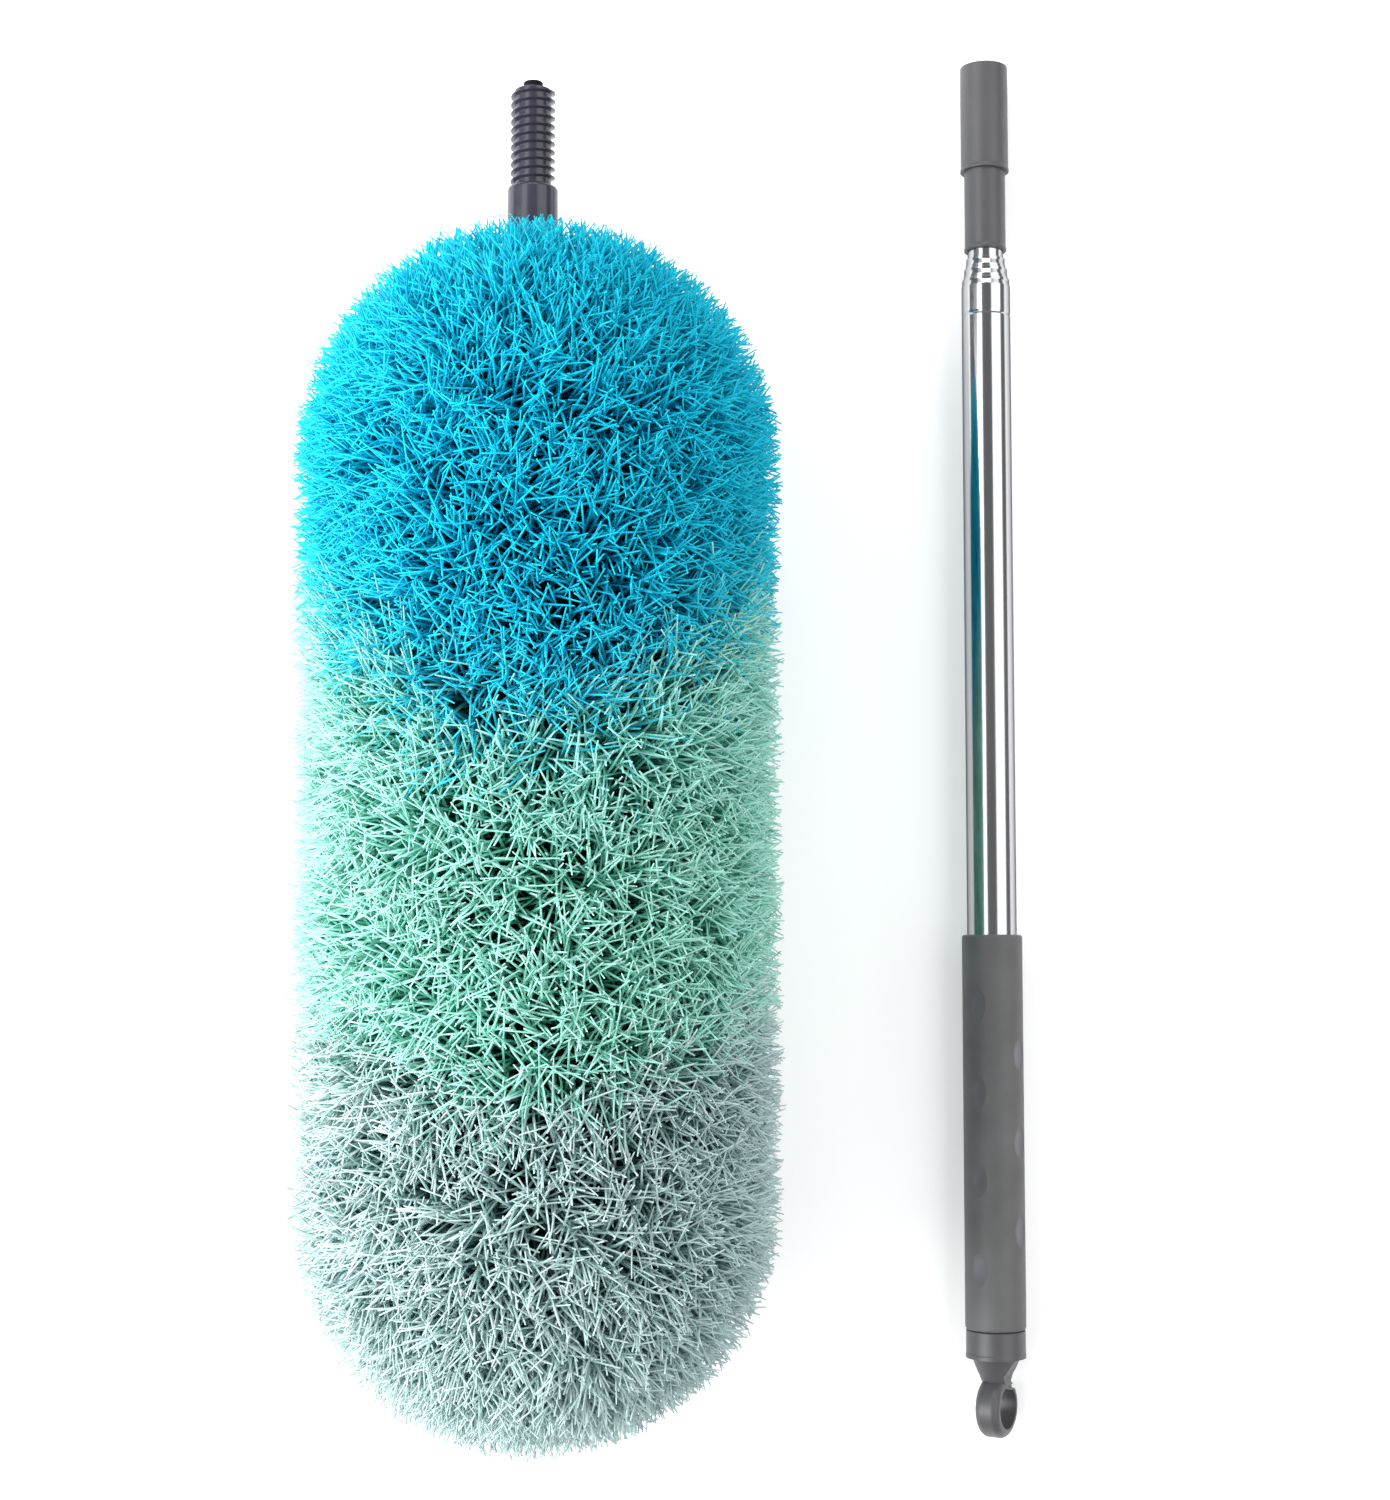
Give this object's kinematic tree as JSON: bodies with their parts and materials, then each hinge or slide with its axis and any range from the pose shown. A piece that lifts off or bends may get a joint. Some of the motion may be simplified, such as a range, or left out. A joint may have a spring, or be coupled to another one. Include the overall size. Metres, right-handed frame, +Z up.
{
  "type": "feather duster",
  "caption": "Static bristle duster head with a threaded stem, lying beside its collapsed telescopic steel pole with a grip, threaded socket and hang ring.",
  "frame": {"origin": "on the table, at the bottom centre of the whole kit's box", "axes": "+Y along the pole and the head towards their screw ends, +X from the head to the pole, +Z up off the table"},
  "size_m": [0.28, 0.555, 0.175],
  "materials": {
    "polished_steel": "polished",
    "shim_bronze": "satin",
    "bush_plastic": "satin",
    "core_steel": "satin",
    "stem_plastic": "gloss",
    "dark_plug": "matte",
    "bristle_blue": "matte",
    "bristle_mint": "matte",
    "bristle_pale": "matte",
    "grip_rubber": "matte",
    "grey_plastic": "satin"
  },
  "bodies": {
    "head": {"threaded_stem": "stem_plastic", "stem_tip_plug": "dark_plug", "core_ferrule": "core_steel", "core_wire_a": "core_steel", "core_wire_b": "core_steel", "core_end_cap": "dark_plug", "bristle_band_blue": "bristle_blue", "bristle_band_mint": "bristle_mint", "bristle_band_pale": "bristle_pale"},
    "handle": {"grip_sleeve": "grip_rubber", "outer_tube": "polished_steel", "tube_end_plug": "bush_plastic"},
    "section_2": {"section_2_tube": "polished_steel", "guide_bush_2": "bush_plastic", "friction_shim_2": "shim_bronze"},
    "section_3": {"section_3_tube": "polished_steel", "guide_bush_3": "bush_plastic", "friction_shim_3": "shim_bronze"},
    "section_4": {"section_4_tube": "polished_steel", "guide_bush_4": "bush_plastic", "friction_shim_4": "shim_bronze", "tip_sleeve": "grey_plastic", "tip_socket": "grey_plastic"},
    "hang_ring": {"hang_ring": "grey_plastic", "retaining_clip": "core_steel"}
  },
  "joints": [
    {"name": "section_2_slide", "type": "slide", "parent": "handle", "child": "section_2", "axis": [0, 1, 0], "range_m": [0, 0.38]},
    {"name": "section_3_slide", "type": "slide", "parent": "section_2", "child": "section_3", "axis": [0, 1, 0], "range_m": [0, 0.36]},
    {"name": "section_4_slide", "type": "slide", "parent": "section_3", "child": "section_4", "axis": [0, 1, 0], "range_m": [0, 0.335]},
    {"name": "hang_ring_swivel", "type": "hinge", "parent": "handle", "child": "hang_ring", "pos_m": [0.12798, -0.242, 0.01205], "axis": [0, 1, 0], "continuous": true},
    {"name": "head_lift", "type": "slide", "parent": "handle", "child": "head", "axis": [0, 0, 1], "range_m": [0, 0.25]}
  ]
}
